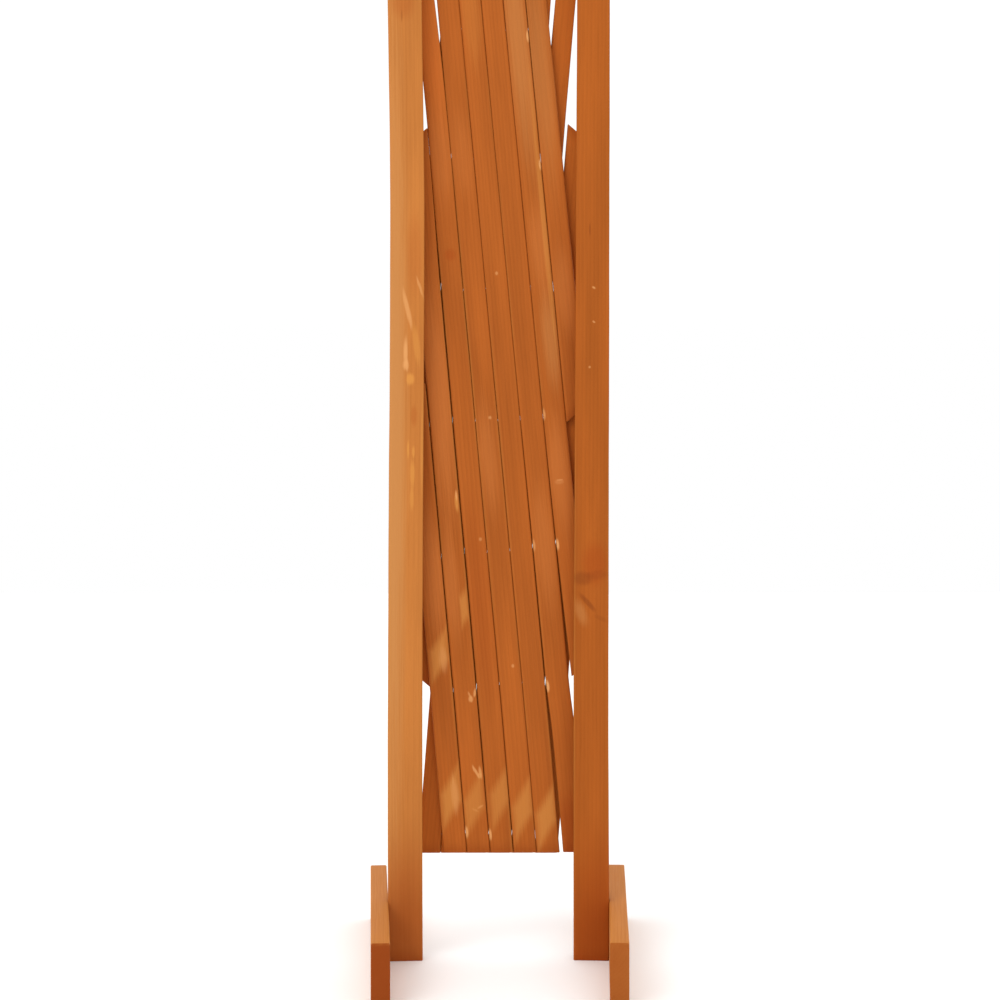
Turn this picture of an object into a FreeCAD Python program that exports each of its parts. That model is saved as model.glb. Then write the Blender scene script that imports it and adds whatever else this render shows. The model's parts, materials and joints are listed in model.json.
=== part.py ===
import FreeCAD, Part
import math
import os

Vector = FreeCAD.Vector

# Folding trellis fence: two posts on foot boards carry a scissor lattice of two layers of slats.
# Lengths are in millimetres and angles in degrees. X runs across the fence, Y to the rear, Z up.

# Posts
POST_HEIGHT = 1100.0
POST_WIDTH = 37.0
POST_THICKNESS = 19.0
POST_EDGE_BEVEL = 1.2

# Foot boards, on edge against the outer side of the posts; the front ends turn inwards
FOOT_LENGTH = 350.0
FOOT_HEIGHT = 64.0
FOOT_THICKNESS = 19.0
FOOT_EDGE_BEVEL = 1.2
TOE_IN = 4.0

# Lattice, folded: spacing of the slats of one layer and distance between pivots along a slat
SLATS_PER_LAYER = 8
PIVOT_ROWS = 7
FOLDED_SPACING = 25.3
PIVOT_PITCH = 140.0
LATTICE_MID_HEIGHT = 600.0
OPEN_LEAN = 55.0

# Slats; the gap shares make the sawn widths differ a little from slat to slat
SLAT_THICKNESS = 8.0
SLAT_GAP = 1.0
SLAT_EDGE_BEVEL = 0.8
END_OVERHANG = 68.0
SIDE_OVERHANG = 18.0
FRONT_GAP_SHARES = (0.7, 0.7, 0.7, 0.3, 0.6, 1.4, 1.0, 1.4)
BACK_GAP_SHARES = (0.4, 0.4, 0.4, 1.2, 1.4, 1.2, 1.4, 1.2)

# Crossing pins, driven from the rear and ending below the front face; being many, they have flats
PIN_SIDES = 8
PIN_DIAMETER = 3.0
PIN_HEAD_DIAMETER = 7.0
PIN_HEAD_THICKNESS = 1.2
PIN_COVER = 1.6

# Pivot screws, from the rear through both layers into the posts
PIVOT_SCREW_DIAMETER = 4.0
PIVOT_HEAD_DIAMETER = 9.0
PIVOT_HEAD_THICKNESS = 2.2
PIVOT_SCREW_GRIP = 13.0
PIVOT_EDGE_DISTANCE = 4.7

# Guide pins of the single slat ends and their blind grooves in the posts
GUIDE_PIN_DIAMETER = 3.0
GUIDE_PIN_REACH = 8.0
GROOVE_DEPTH = 10.0
GROOVE_RUNOUT = 2.0

# Countersunk foot screws
FOOT_SCREW_DIAMETER = 4.0
FOOT_SCREW_HEAD_DIAMETER = 8.0
FOOT_SCREW_LENGTH = 44.0
FOOT_SCREW_EDGE_DISTANCE = 16.0

# Fits
MOVING_GAP = 0.3
RUNNING_CLEARANCE = 0.05
OVERRUN = 1.0

FOLDED_LEAN = math.degrees(math.asin(FOLDED_SPACING / (2 * PIVOT_PITCH)))
SLAT_STEP = FOLDED_SPACING * math.cos(math.radians(FOLDED_LEAN))
COLUMN_PITCH = FOLDED_SPACING / 2
LAST_COLUMN = 2 * (SLATS_PER_LAYER - 1)
LAST_ROW = PIVOT_ROWS - 1
MIDDLE_ROW = LAST_ROW // 2
HALF_SPAN = LAST_COLUMN * COLUMN_PITCH / 2

TOE_SINE = math.sin(math.radians(TOE_IN))
TOE_COSINE = math.cos(math.radians(TOE_IN))
POST_REAR = (POST_WIDTH + FOOT_THICKNESS / 2) * TOE_SINE + POST_THICKNESS / 2 * TOE_COSINE
FRONT_LAYER = POST_REAR + MOVING_GAP
BACK_LAYER = FRONT_LAYER + SLAT_THICKNESS + MOVING_GAP
LATTICE_REAR = BACK_LAYER + SLAT_THICKNESS

ACROSS = Vector(1, 0, 0)
REARWARD = Vector(0, 1, 0)
UP = Vector(0, 0, 1)
ORIGIN = Vector(0, 0, 0)
PARALLEL_TOLERANCE = 1e-6


def edges_along(shape, direction):
    """Straight edges of a shape that run along a direction."""
    return [
        edge
        for edge in shape.Edges
        if edge.tangentAt(edge.FirstParameter).cross(direction).Length < PARALLEL_TOLERANCE
    ]


def row_height(row, lean):
    """Height of a pivot row while the slats lean by an angle from upright."""
    return LATTICE_MID_HEIGHT + (row - MIDDLE_ROW) * PIVOT_PITCH * math.cos(math.radians(lean))


def pivot_point(column, row, depth):
    """Point on a pivot axis of the folded lattice, at a depth along Y."""
    return Vector(column * COLUMN_PITCH - HALF_SPAN, depth, row_height(row, FOLDED_LEAN))


def rod(pivot, front, rear, diameter):
    """Round rod along a pivot axis, from a front depth to a rear depth."""
    return Part.makeCylinder(diameter / 2, rear - front, pivot_point(*pivot, front), REARWARD)


def flat_ring(centre, axis, diameter):
    """Corners of an outline with flats, on a circle about an axis."""
    arm = UP.cross(axis) * (diameter / 2)
    turns = [FreeCAD.Rotation(axis, 360 * side / PIN_SIDES) for side in range(PIN_SIDES)]
    return [centre + turn.multVec(arm) for turn in turns]


def flat_face(corners):
    """Plane face with the given corners."""
    return Part.Face(Part.makePolygon(corners + corners[:1]))


def flat_bar(rings):
    """Solid with flats that runs through the given rings of corners."""
    faces = [flat_face(rings[0]), flat_face(rings[-1])]
    for near, far in zip(rings, rings[1:]):
        for side in range(PIN_SIDES):
            faces.append(flat_face([near[side - 1], near[side], far[side], far[side - 1]]))
    return Part.Solid(Part.Shell(faces))


def flat_rod(pivot, front, rear, diameter):
    """Rod with flats along a pivot axis, from a front depth to a rear depth."""
    return flat_bar([flat_ring(pivot_point(*pivot, depth), REARWARD, diameter) for depth in (front, rear)])


def headed_pin(bar, pivot, tip, seat, diameter, head_diameter, head_thickness):
    """Pin of round or flat-sided bar, with a flat-sided head behind its seat and its tip to the front."""
    shank = bar(pivot, tip, seat, diameter)
    head = flat_rod(pivot, seat, seat + head_thickness, head_diameter)
    return shank.fuse(head).removeSplitter()


def front_pivots(index):
    """Pivots of a front slat, from its lower to its upper end."""
    diagonal = MIDDLE_ROW + 2 * index
    rows = range(max(0, diagonal - LAST_COLUMN), min(LAST_ROW, diagonal) + 1)
    return [(diagonal - row, row) for row in rows]


def back_pivots(index):
    """Pivots of a back slat, from its lower to its upper end."""
    diagonal = 2 * index - MIDDLE_ROW
    rows = range(max(0, -diagonal), min(LAST_ROW, LAST_COLUMN - diagonal) + 1)
    return [(diagonal + row, row) for row in rows]


SLAT_INDICES = range(SLATS_PER_LAYER)
ALL_FRONT_PIVOTS = {pivot for index in SLAT_INDICES for pivot in front_pivots(index)}
ALL_BACK_PIVOTS = {pivot for index in SLAT_INDICES for pivot in back_pivots(index)}
SIDE_COLUMNS = (0, LAST_COLUMN)
SINGLE_PIVOTS = ALL_FRONT_PIVOTS ^ ALL_BACK_PIVOTS
POST_PIVOTS = {(column, MIDDLE_ROW) for column in SIDE_COLUMNS}
CROSSINGS = (ALL_FRONT_PIVOTS & ALL_BACK_PIVOTS) - POST_PIVOTS
GUIDE_PIVOTS = {pivot for pivot in SINGLE_PIVOTS if pivot[0] in SIDE_COLUMNS}


def slat_blank(pivots, width, hand):
    """Slat in place with eased edges; the hand is 1 in the front layer and -1 in the back layer.

    The ends past the first and last rows are trimmed level on the folded fence. The side ends
    behind the posts are mitred so that they stand plumb on the open fence.
    """
    level_slope = -hand * math.tan(math.radians(FOLDED_LEAN))
    plumb_slope = hand / math.tan(math.radians(OPEN_LEAN))
    trimmed_below = pivots[0][1] == 0
    trimmed_above = pivots[-1][1] == LAST_ROW
    low = -END_OVERHANG if trimmed_below else -SIDE_OVERHANG
    high = (len(pivots) - 1) * PIVOT_PITCH + (END_OVERHANG if trimmed_above else SIDE_OVERHANG)
    low_rise = width / 2 * (level_slope if trimmed_below else plumb_slope)
    high_rise = width / 2 * (level_slope if trimmed_above else plumb_slope)
    corners = [
        Vector(-width / 2, 0, low - low_rise),
        Vector(width / 2, 0, low + low_rise),
        Vector(width / 2, 0, high + high_rise),
        Vector(-width / 2, 0, high - high_rise),
    ]
    outline = Part.makePolygon(corners + corners[:1])
    blank = Part.Face(outline).extrude(REARWARD * SLAT_THICKNESS)
    blank = blank.makeChamfer(SLAT_EDGE_BEVEL, edges_along(blank, UP))
    blank.rotate(ORIGIN, REARWARD, -hand * FOLDED_LEAN)
    blank.translate(pivot_point(*pivots[0], FRONT_LAYER if hand > 0 else BACK_LAYER))
    return blank


def running_hole(pivot, front, rear, diameter):
    """Hole in which a rod of a given diameter turns freely."""
    return rod(pivot, front, rear, diameter + 2 * RUNNING_CLEARANCE)


def front_slat(index):
    """Front slat: blind running holes for the crossing pins, which leave its face clean."""
    pivots = front_pivots(index)
    width = SLAT_STEP - SLAT_GAP * FRONT_GAP_SHARES[index]
    rear = FRONT_LAYER + SLAT_THICKNESS + OVERRUN
    holes = []
    for pivot in pivots:
        if pivot in POST_PIVOTS:
            holes.append(running_hole(pivot, FRONT_LAYER - OVERRUN, rear, PIVOT_SCREW_DIAMETER))
        elif pivot in GUIDE_PIVOTS:
            holes.append(flat_rod(pivot, FRONT_LAYER - OVERRUN, rear, GUIDE_PIN_DIAMETER))
        elif pivot in CROSSINGS:
            bottom = FRONT_LAYER + PIN_COVER - MOVING_GAP
            holes.append(running_hole(pivot, bottom, rear, PIN_DIAMETER))
    return slat_blank(pivots, width, 1).cut(holes)


def back_slat(index):
    """Back slat: through holes that grip the crossing pins."""
    pivots = back_pivots(index)
    width = SLAT_STEP - SLAT_GAP * BACK_GAP_SHARES[index]
    front = BACK_LAYER - OVERRUN
    rear = LATTICE_REAR + OVERRUN
    holes = []
    for pivot in pivots:
        if pivot in POST_PIVOTS:
            holes.append(running_hole(pivot, front, rear, PIVOT_SCREW_DIAMETER))
        elif pivot in GUIDE_PIVOTS:
            holes.append(flat_rod(pivot, front, rear, GUIDE_PIN_DIAMETER))
        elif pivot in CROSSINGS:
            holes.append(flat_rod(pivot, front, rear, PIN_DIAMETER))
    return slat_blank(pivots, width, -1).cut(holes)


def crossing_pins(index):
    """Pins of one back slat, one at each of its crossings with a front slat."""
    tip = FRONT_LAYER + PIN_COVER
    sizes = (PIN_DIAMETER, PIN_HEAD_DIAMETER, PIN_HEAD_THICKNESS)
    crossings = [pivot for pivot in back_pivots(index) if pivot in CROSSINGS]
    return Part.makeCompound([headed_pin(flat_rod, pivot, tip, LATTICE_REAR, *sizes) for pivot in crossings])


def guide_pin(pivot):
    """Pin of a single slat end, reaching forwards into the groove of the post."""
    seat = FRONT_LAYER + SLAT_THICKNESS if pivot in ALL_FRONT_PIVOTS else LATTICE_REAR
    tip = POST_REAR - GUIDE_PIN_REACH
    sizes = (GUIDE_PIN_DIAMETER, PIN_HEAD_DIAMETER, PIN_HEAD_THICKNESS)
    return headed_pin(flat_rod, pivot, tip, seat, *sizes)


def pivot_screw(column):
    """Screw that holds both slats of the middle row to a post."""
    tip = POST_REAR - PIVOT_SCREW_GRIP
    seat = LATTICE_REAR + MOVING_GAP
    sizes = (PIVOT_SCREW_DIAMETER, PIVOT_HEAD_DIAMETER, PIVOT_HEAD_THICKNESS)
    return headed_pin(rod, (column, MIDDLE_ROW), tip, seat, *sizes)


def set_left(shape):
    """Turn a left-hand piece by the toe-in and bring the post's rear inner edge to its place."""
    shape.rotate(ORIGIN, UP, TOE_IN)
    shape.translate(Vector(PIVOT_EDGE_DISTANCE - HALF_SPAN, POST_REAR, 0))
    return shape


def eased_board(width, depth, height, corner, bevel):
    """Board with bevelled upright and top edges; its underside stays sharp."""
    board = Part.makeBox(width, depth, height, corner)
    eased = [edge for edge in board.Edges if edge.CenterOfMass.z > 0]
    return board.makeChamfer(bevel, eased)


def guide_groove(row):
    """Round-ended groove that holds a guide pin from the folded to the open lattice."""
    width = GUIDE_PIN_DIAMETER + 2 * MOVING_GAP
    ends = sorted((row_height(row, FOLDED_LEAN), row_height(row, OPEN_LEAN)))
    low = ends[0] - GROOVE_RUNOUT
    high = ends[1] + GROOVE_RUNOUT
    front = POST_REAR - GROOVE_DEPTH
    depth = GROOVE_DEPTH + OVERRUN
    channel = Part.makeBox(width, depth, high - low, Vector(-HALF_SPAN - width / 2, front, low))
    for height in (low, high):
        end = Part.makeCylinder(width / 2, depth, Vector(-HALF_SPAN, front, height), REARWARD)
        channel = channel.fuse(end)
    return channel.removeSplitter()


def left_foot_screws():
    """Two countersunk screws through the foot into the post."""
    outer = -POST_WIDTH - FOOT_THICKNESS
    head_depth = (FOOT_SCREW_HEAD_DIAMETER - FOOT_SCREW_DIAMETER) / 2
    screws = []
    for height in (FOOT_SCREW_EDGE_DISTANCE, FOOT_HEIGHT - FOOT_SCREW_EDGE_DISTANCE):
        start = Vector(outer, -POST_THICKNESS / 2, height)
        rim = flat_ring(start, ACROSS, FOOT_SCREW_HEAD_DIAMETER)
        neck = flat_ring(start + ACROSS * head_depth, ACROSS, FOOT_SCREW_DIAMETER)
        tip = flat_ring(start + ACROSS * FOOT_SCREW_LENGTH, ACROSS, FOOT_SCREW_DIAMETER)
        screws.append(flat_bar([rim, neck, tip]))
    return set_left(Part.makeCompound(screws))


def left_post():
    """Post with the bore of its pivot screw, two guide grooves and the foot screws' bores."""
    corner = Vector(-POST_WIDTH, -POST_THICKNESS, 0)
    board = eased_board(POST_WIDTH, POST_THICKNESS, POST_HEIGHT, corner, POST_EDGE_BEVEL)
    cuts = [guide_groove(row) for column, row in GUIDE_PIVOTS if column == 0]
    return set_left(board).cut(cuts + [pivot_screw(0), left_foot_screws()])


def left_foot():
    """Foot board with the countersunk bores of its screws."""
    corner = Vector(-POST_WIDTH - FOOT_THICKNESS, -(POST_THICKNESS + FOOT_LENGTH) / 2, 0)
    board = eased_board(FOOT_THICKNESS, FOOT_LENGTH, FOOT_HEIGHT, corner, FOOT_EDGE_BEVEL)
    return set_left(board).cut(left_foot_screws())


def guide_pin_name(pivot):
    """Name of a guide pin after its side and its level."""
    side = "left" if pivot[0] == 0 else "right"
    level = "lower" if pivot[1] < MIDDLE_ROW else "upper"
    return f"{side}_{level}_guide_pin"


def all_nodes():
    """Every piece of the fence under its own name."""
    nodes = {}
    for name, left in (("post", left_post()), ("foot", left_foot()), ("foot_screws", left_foot_screws())):
        nodes[f"left_{name}"] = left
        nodes[f"right_{name}"] = left.mirror(ORIGIN, ACROSS)
    nodes["left_pivot_screw"] = pivot_screw(0)
    nodes["right_pivot_screw"] = pivot_screw(LAST_COLUMN)
    for index in SLAT_INDICES:
        nodes[f"front_slat_{index + 1}"] = front_slat(index)
        nodes[f"back_slat_{index + 1}"] = back_slat(index)
        nodes[f"back_slat_{index + 1}_pins"] = crossing_pins(index)
    for pivot in GUIDE_PIVOTS:
        nodes[guide_pin_name(pivot)] = guide_pin(pivot)
    return nodes


os.makedirs("parts", exist_ok=True)
for name, shape in all_nodes().items():
    shape.exportStep(f"parts/{name}.step")
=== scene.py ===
"""Dress the folding trellis fence: stained boards, nails, screws and a plain studio."""

import json
import logging
import math
from collections.abc import Iterable, Sequence
from dataclasses import dataclass, replace
from enum import Enum
from functools import partial

import bmesh
import bpy
from mathutils import Matrix, Vector

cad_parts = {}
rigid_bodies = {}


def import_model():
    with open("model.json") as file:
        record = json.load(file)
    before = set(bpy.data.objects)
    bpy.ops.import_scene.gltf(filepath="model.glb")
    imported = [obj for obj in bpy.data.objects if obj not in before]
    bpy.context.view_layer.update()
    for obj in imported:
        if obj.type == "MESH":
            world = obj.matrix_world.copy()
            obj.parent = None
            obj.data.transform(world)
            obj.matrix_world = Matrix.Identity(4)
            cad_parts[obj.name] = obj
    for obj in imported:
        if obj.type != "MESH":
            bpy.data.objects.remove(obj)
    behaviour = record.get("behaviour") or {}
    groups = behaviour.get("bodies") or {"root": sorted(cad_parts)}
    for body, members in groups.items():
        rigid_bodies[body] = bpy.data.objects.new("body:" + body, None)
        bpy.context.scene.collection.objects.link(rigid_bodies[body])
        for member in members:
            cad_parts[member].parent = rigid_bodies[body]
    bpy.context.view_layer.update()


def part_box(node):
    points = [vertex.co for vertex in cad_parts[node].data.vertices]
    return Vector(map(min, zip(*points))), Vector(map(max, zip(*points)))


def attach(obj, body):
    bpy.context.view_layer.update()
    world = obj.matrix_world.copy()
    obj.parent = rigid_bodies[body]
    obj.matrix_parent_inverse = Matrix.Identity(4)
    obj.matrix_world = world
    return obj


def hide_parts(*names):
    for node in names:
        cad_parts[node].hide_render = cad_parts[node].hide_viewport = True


LOG = logging.getLogger("fence")
MM = 0.001
GRAIN_PLACE = "grain_place"
CREASE = math.radians(35)
NOISE_MEAN = 0.5
NAIL_SIDES = 20
POST_SEED = 20
FOOT_SEED = 30
SCREW_SIDES = 28
REARWARD = Matrix.Rotation(-math.pi / 2, 4, "X")

Colour = tuple[float, float, float, float]
Pivot = tuple[int, int]
Points = list[tuple[float, float]]
Triple = tuple[float, float, float]
Socket = bpy.types.NodeSocket


def screen(red: int, green: int, blue: int) -> Colour:
    """Turn a screen colour into a linear one.

    Args:
        red: Red from 0 to 255.
        green: Green from 0 to 255.
        blue: Blue from 0 to 255.

    Returns:
        The linear colour with full alpha.
    """
    shares = [value / 255 for value in (red, green, blue)]
    linear = [s / 12.92 if s <= 0.04045 else ((s + 0.055) / 1.055) ** 2.4 for s in shares]
    return (linear[0], linear[1], linear[2], 1.0)


class Layer(Enum):
    """The two layers of the lattice; the value is the hand of the lean."""

    FRONT = 1
    BACK = -1


class Side(Enum):
    """The two ends of the fence; the value is the sign along X."""

    LEFT = -1
    RIGHT = 1


@dataclass(frozen=True)
class MarkLook:
    """Colour and edge of one kind of mark.

    Attributes:
        colour: Colour of the mark.
        core: Share of its size that has the full colour.
        fray: How far the fibres break up its edge.
        square: Whether its edges are straight.
    """

    colour: Colour
    core: float = 0.35
    fray: float = 0.7
    square: bool = False


class MarkKind(Enum):
    """What a local mark looks like: real marks in the wood, and patches of painted light and painted shade.
    """

    RESIN = MarkLook(screen(199, 131, 60))
    SAP = MarkLook(screen(186, 125, 68), core=0.2, fray=0.5)
    SCUFF = MarkLook(screen(213, 151, 92))
    KNOT = MarkLook(screen(96, 38, 8))
    # SHADE gives darker tone in the wood, and also painted shade where it stands for a shadow.
    SHADE = MarkLook(screen(150, 58, 6), core=0.3, fray=0.2)
    # Painted light: a lighter patch that stands in for light on a part that lies in shade.
    THIN = MarkLook(screen(208, 110, 42), core=0.2, fray=0.3)
    PALE = MarkLook(screen(195, 114, 54), core=0.2, fray=0.5)
    LAP = MarkLook(screen(190, 122, 56), core=0.3, fray=0.35, square=True)


@dataclass(frozen=True)
class Mark:
    """Mark on a board, in millimetres of the board's own frame; some marks are painted light and painted
    shade.

    Attributes:
        kind: What the mark looks like.
        across: Place across the board, from its middle line.
        along: Place along the board, from its origin.
        half_across: Half size across the board.
        half_along: Half size along the board.
        strength: Share of the mark's colour at its middle.
        slant: Shift along the board for each unit across it.
        lean: Shift across the board for each unit along it.
    """

    kind: MarkKind
    across: float
    along: float
    half_across: float
    half_along: float
    strength: float
    slant: float = 0.0
    lean: float = 0.0


# One maker of marks for each kind, in the order of the kinds. Each takes the place across and along,
# the half sizes across and along, and the strength.
resin, sap, scuff, knot, shade, painted_light, pale, lap = (partial(Mark, kind) for kind in MarkKind)


class Graph:
    """Short hand for building a material's node tree."""

    def __init__(self, name: str) -> None:
        """Start an empty node material.

        Args:
            name: Name of the material.
        """
        self.material = bpy.data.materials.new(name)
        self.material.use_nodes = True
        self.tree = self.material.node_tree
        self.tree.nodes.clear()

    def node(self, kind: str, **settings: object) -> bpy.types.Node:
        """Add a node.

        Args:
            kind: Node type.
            settings: Properties of the node.

        Returns:
            The new node.
        """
        made = self.tree.nodes.new(kind)
        for name, value in settings.items():
            setattr(made, name, value)
        return made

    def feed(self, socket: Socket, value: object) -> None:
        """Link an output to an input socket, or set the socket's own value.

        Args:
            socket: Input socket.
            value: Output to link, or the value itself.
        """
        if isinstance(value, Socket):
            self.tree.links.new(value, socket)
        else:
            socket.default_value = value

    def math(self, operation: str, *values: object, clamp: bool = False) -> Socket:
        """Combine numbers.

        Args:
            operation: Name of the operation.
            values: Numbers or outputs that go in.
            clamp: Whether the result stays from 0 to 1.

        Returns:
            The result's socket.
        """
        made = self.node("ShaderNodeMath", operation=operation, use_clamp=clamp)
        for socket, value in zip(made.inputs, values):
            self.feed(socket, value)
        return made.outputs["Value"]

    def vector(self, operation: str, *values: object) -> bpy.types.Node:
        """Combine vectors.

        Args:
            operation: Name of the operation.
            values: Vectors or outputs that go in.

        Returns:
            The node, with a vector and a value output.
        """
        made = self.node("ShaderNodeVectorMath", operation=operation)
        for socket, value in zip(made.inputs, values):
            self.feed(socket, value)
        return made

    def noise(self, place: Socket, scale: Triple, detail: float) -> bpy.types.Node:
        """Make noise whose scale differs across and along the grain.

        Args:
            place: Point in the wood.
            scale: Cells for each metre along the three axes.
            detail: Octaves of the noise.

        Returns:
            The noise node.
        """
        made = self.node("ShaderNodeTexNoise", noise_dimensions="3D")
        self.feed(made.inputs["Vector"], self.vector("MULTIPLY", place, scale).outputs["Vector"])
        made.inputs["Scale"].default_value = 1.0
        made.inputs["Detail"].default_value = detail
        return made

    def step(self, value: object, low: object, high: object) -> Socket:
        """Step smoothly from 0 to 1.

        Args:
            value: Number or output that decides.
            low: Value where the step is 0.
            high: Value where the step is 1.

        Returns:
            The step's socket.
        """
        made = self.node("ShaderNodeMapRange", interpolation_type="SMOOTHSTEP")
        for name, entry in (("Value", value), ("From Min", low), ("From Max", high)):
            self.feed(made.inputs[name], entry)
        return made.outputs["Result"]

    def blend(self, share: object, first: object, second: object) -> Socket:
        """Blend from the first colour to the second.

        Args:
            share: Share of the second colour.
            first: Colour or output at share 0.
            second: Colour or output at share 1.

        Returns:
            The blended colour's socket.
        """
        made = self.node("ShaderNodeMix", data_type="RGBA")
        self.feed(made.inputs["Factor"], share)
        for socket, value in zip((s for s in made.inputs if s.type == "RGBA"), (first, second)):
            self.feed(socket, value)
        return next(socket for socket in made.outputs if socket.type == "RGBA")

    def bump(self, height: Socket, strength: float, distance: float) -> Socket:
        """Turn a height into a bumped normal.

        Args:
            height: Output with the height.
            strength: Share of the bump that shows.
            distance: Real height of the bump, in metres.

        Returns:
            The normal's socket.
        """
        made = self.node("ShaderNodeBump")
        self.feed(made.inputs["Height"], height)
        made.inputs["Strength"].default_value = strength
        made.inputs["Distance"].default_value = distance
        return made.outputs["Normal"]

    def shade(self, **inputs: object) -> bpy.types.Material:
        """Finish the material with one principled shader.

        Args:
            inputs: Values or outputs for the shader's sockets, with _ for a space.

        Returns:
            The finished material.
        """
        shader = self.node("ShaderNodeBsdfPrincipled")
        for name, value in inputs.items():
            self.feed(shader.inputs[name.replace("_", " ")], value)
        output = self.node("ShaderNodeOutputMaterial")
        self.tree.links.new(shader.outputs["BSDF"], output.inputs["Surface"])
        return self.material


@dataclass(frozen=True)
class Bow:
    """Smooth sideways bend of a board.

    Attributes:
        stations: Places along the board and the sideways shift there, in millimetres; at least two.
    """

    stations: tuple[tuple[float, float], ...] = ((0.0, 0.0), (1.0, 0.0))

    def slope(self, index: int) -> float:
        """Give the slope of the bend at a station, taken from its neighbours.

        Args:
            index: Number of the station.

        Returns:
            The sideways shift for each unit along the board.
        """
        start, first = self.stations[max(index - 1, 0)]
        end, second = self.stations[min(index + 1, len(self.stations) - 1)]
        return (second - first) / (end - start)

    def at(self, along: float) -> float:
        """Give the sideways shift at a place along the board.

        Args:
            along: Place along the board in metres.

        Returns:
            The shift in metres, along a cubic between stations and straight past the last ones.
        """
        place = along / MM
        last = len(self.stations) - 1
        low, low_shift = self.stations[0]
        high, high_shift = self.stations[last]
        if place <= low:
            return (low_shift + self.slope(0) * (place - low)) * MM
        if place >= high:
            return (high_shift + self.slope(last) * (place - high)) * MM
        index = next(number for number in range(last) if place < self.stations[number + 1][0])
        (start, first), (end, second) = self.stations[index : index + 2]
        run = end - start
        share = (place - start) / run
        ease = share * share * (3 - 2 * share)
        pull = self.slope(index) * (1 - share) - self.slope(index + 1) * share
        return (first + (second - first) * ease + pull * run * share * (1 - share)) * MM


@dataclass(frozen=True)
class Board:
    """A sawn board with eased edges, in its own frame: X across, Y into the depth, Z along the grain.

    Attributes:
        width: Size across at the origin, in metres.
        thickness: Size into the depth.
        low: Place of the lower end on the middle line.
        high: Place of the upper end on the middle line.
        low_slope: Rise of the lower end for each unit across.
        high_slope: Rise of the upper end for each unit across.
        ease: Radius of the long edges.
        end_ease: Radius of the edges of the ends.
        bow: Sideways bend.
        taper: Width lost for each unit along the grain.
        ring_step: Distance between the rings of the mesh.
        ripple: Height of the slow unevenness left by the planer.
        seed: Number that sets the unevenness apart from other boards.
    """

    width: float
    thickness: float
    low: float
    high: float
    low_slope: float = 0.0
    high_slope: float = 0.0
    ease: float = 1.9 * MM
    end_ease: float = 0.6 * MM
    bow: Bow = Bow()
    taper: float = 0.0
    ring_step: float = 12 * MM
    ripple: float = 0.1 * MM
    seed: int = 0

    def outline(self, inset: float) -> Points:
        """Give the rounded cross-section.

        Args:
            inset: Distance by which the section is drawn in.

        Returns:
            Points round the section, counter-clockwise seen against the grain.
        """
        corner_steps = 4
        face_steps = 6
        sharpest = self.ease / 20
        half = self.width / 2 - inset
        deep = self.thickness / 2 - inset
        radius = max(self.ease - inset, sharpest)
        points: Points = []
        for quarter, (sign_x, sign_y) in enumerate(((1, -1), (1, 1), (-1, 1), (-1, -1))):
            centre = (sign_x * (half - radius), sign_y * (deep - radius))
            for step in range(corner_steps + 1):
                turn = math.radians(90 * (quarter - 1 + step / corner_steps))
                points.append((centre[0] + radius * math.cos(turn), centre[1] + radius * math.sin(turn)))
            if quarter % 2 == 1:
                edge_x, edge_y = points[-1]
                points += [(edge_x * (1 - 2 * step / face_steps), edge_y) for step in range(1, face_steps)]
        return points

    def stations(self) -> list[tuple[float, float, float]]:
        """List the rings of the mesh from end to end.

        Returns:
            For each ring the share of the length, a shift along the grain and the inset.
        """
        end_steps = 3
        count = max(2, round((self.high - self.low) / self.ring_step))
        turns = [math.radians(90 * step / end_steps) for step in range(end_steps + 1)]
        rim = [(self.end_ease * (1 - math.cos(turn)), self.end_ease * (1 - math.sin(turn))) for turn in turns]
        made = [(0.0, shift, inset) for shift, inset in rim]
        made += [(step / count, 0.0, 0.0) for step in range(1, count)]
        return made + [(1.0, -shift, inset) for shift, inset in reversed(rim)]

    def wander(self, along: float, phase: float) -> float:
        """Give the planer's slow unevenness at a place along the board.

        Args:
            along: Place along the board in metres.
            phase: Number that sets the faces of a board apart.

        Returns:
            The unevenness in metres.
        """
        start = 1.7 * self.seed + phase
        long_wave = 0.6 * math.sin(along * 23 + start)
        short_wave = 0.4 * math.sin(along * 61 + 2.3 * start)
        return self.ripple * (long_wave + short_wave)

    def mesh(self, name: str) -> bpy.types.Mesh:
        """Build the board's mesh.

        Args:
            name: Name of the mesh.

        Returns:
            The mesh, without materials.
        """
        bm = bmesh.new()
        loops = []
        for share, shift, inset in self.stations():
            loop = []
            for x, y in self.outline(inset):
                low = self.low + self.low_slope * x
                high = self.high + self.high_slope * x
                z = low + (high - low) * share + shift
                side = x * (1 - self.taper * z / self.width)
                side = side + self.bow.at(z) + self.wander(z, math.copysign(1, x))
                depth = y + self.thickness / 2 + self.wander(z, 3)
                loop.append(bm.verts.new((side, depth, z)))
            loops.append(loop)
        for near, far in zip(loops, loops[1:]):
            for index, vertex in enumerate(near):
                bm.faces.new((near[index - 1], vertex, far[index], far[index - 1]))
        bm.faces.new(list(reversed(loops[0])))
        bm.faces.new(loops[-1])
        return finished_mesh(bm, name)

    def mark_grain(self, mesh: bpy.types.Mesh) -> None:
        """Store each point's place in the straight board, which the finish follows.

        Args:
            mesh: Mesh of the board.
        """
        places = mesh.attributes.new(GRAIN_PLACE, "FLOAT_VECTOR", "POINT")
        for vertex, place in zip(mesh.vertices, places.data):
            x, y, z = vertex.co
            place.vector = (x - self.bow.at(z), y, z)


def finished_mesh(bm: bmesh.types.BMesh, name: str) -> bpy.types.Mesh:
    """Turn a mesh under construction into a mesh with outward faces.

    Args:
        bm: Mesh under construction, which is freed.
        name: Name of the mesh.

    Returns:
        The finished mesh.
    """
    bmesh.ops.recalc_face_normals(bm, faces=bm.faces)
    made = bpy.data.meshes.new(name)
    bm.to_mesh(made)
    bm.free()
    return made


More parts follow.
